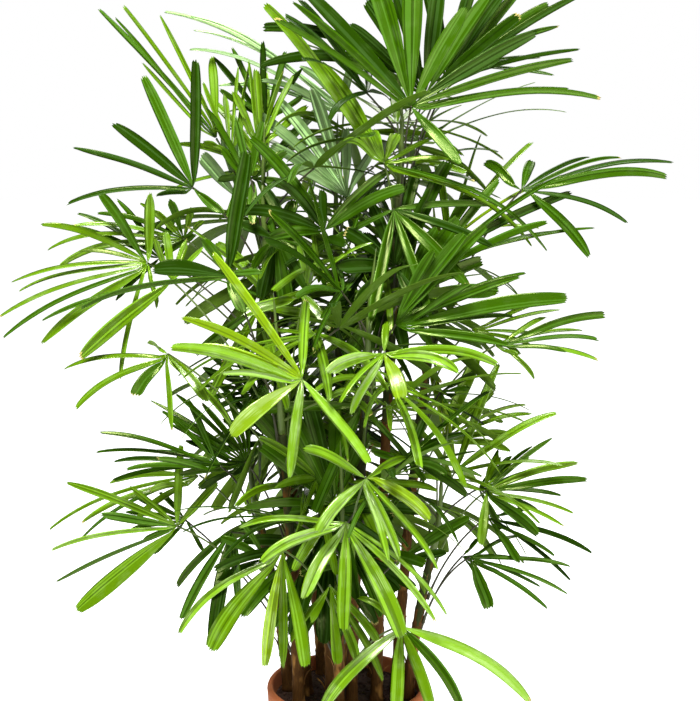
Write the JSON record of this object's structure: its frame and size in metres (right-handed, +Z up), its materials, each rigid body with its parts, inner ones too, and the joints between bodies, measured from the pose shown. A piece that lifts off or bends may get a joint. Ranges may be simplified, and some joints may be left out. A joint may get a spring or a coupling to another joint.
{
  "type": "potted lady palm",
  "caption": "Bushy lady palm: slim fibrous canes with fan-shaped leaves on thin stalks, growing in a filled clay pot.",
  "frame": {"origin": "centre of the pot's flat underside", "axes": "+Z up along the canes, -Y is the palm's open front side, +X to the right seen from the front"},
  "size_m": [1.2697, 0.942, 1.6721],
  "materials": {
    "clay": "unglazed terracotta, matt, slightly weathered",
    "soil": "dark moist potting soil, crumbly and matt",
    "cane": "slim canes wrapped in brown fibre, green towards the top",
    "leaf": "glossy pleated green leaf with pale underside and dry tips"
  },
  "bodies": {
    "root": {"cane_back": "cane", "cane_backLow": "cane", "cane_front": "cane", "cane_inner": "cane", "cane_left": "cane", "cane_leftLow": "cane", "cane_middle": "cane", "cane_near": "cane", "cane_rear": "cane", "cane_right": "cane", "cane_rightLow": "cane", "cane_tall": "cane", "crown_back": "leaf", "crown_backLow": "leaf", "crown_front": "leaf", "crown_inner": "leaf", "crown_left": "leaf", "crown_leftLow": "leaf", "crown_middle": "leaf", "crown_near": "leaf", "crown_rear": "leaf", "crown_right": "leaf", "crown_rightLow": "leaf", "crown_tall": "leaf", "leaf_centre": "leaf", "leaf_frontLeft": "leaf", "leaf_frontLow": "leaf", "leaf_frontRight": "leaf", "leaf_leftHigh": "leaf", "leaf_leftLow": "leaf", "leaf_leftMid": "leaf", "leaf_leftPeak": "leaf", "leaf_leftReach": "leaf", "leaf_leftSmall": "leaf", "leaf_leftTuft": "leaf", "leaf_leftUnder": "leaf", "leaf_lowCentre": "leaf", "leaf_lowTuft": "leaf", "leaf_nearFront": "leaf", "leaf_nearLeft": "leaf", "leaf_nearTop": "leaf", "leaf_potFront": "leaf", "leaf_rearLeft": "leaf", "leaf_rearPale": "leaf", "leaf_rightBack": "leaf", "leaf_rightFlat": "leaf", "leaf_rightInner": "leaf", "leaf_rightLow": "leaf", "leaf_rightMid": "leaf", "leaf_rightNear": "leaf", "leaf_rightReach": "leaf", "leaf_rightTuft": "leaf", "leaf_rightUnder": "leaf", "leaf_top": "leaf", "leaf_topArc": "leaf", "leaf_topLeft": "leaf", "leaf_topPale": "leaf", "leaf_topRear": "leaf", "pot": "clay", "soil": "soil"}
  },
  "joints": []
}
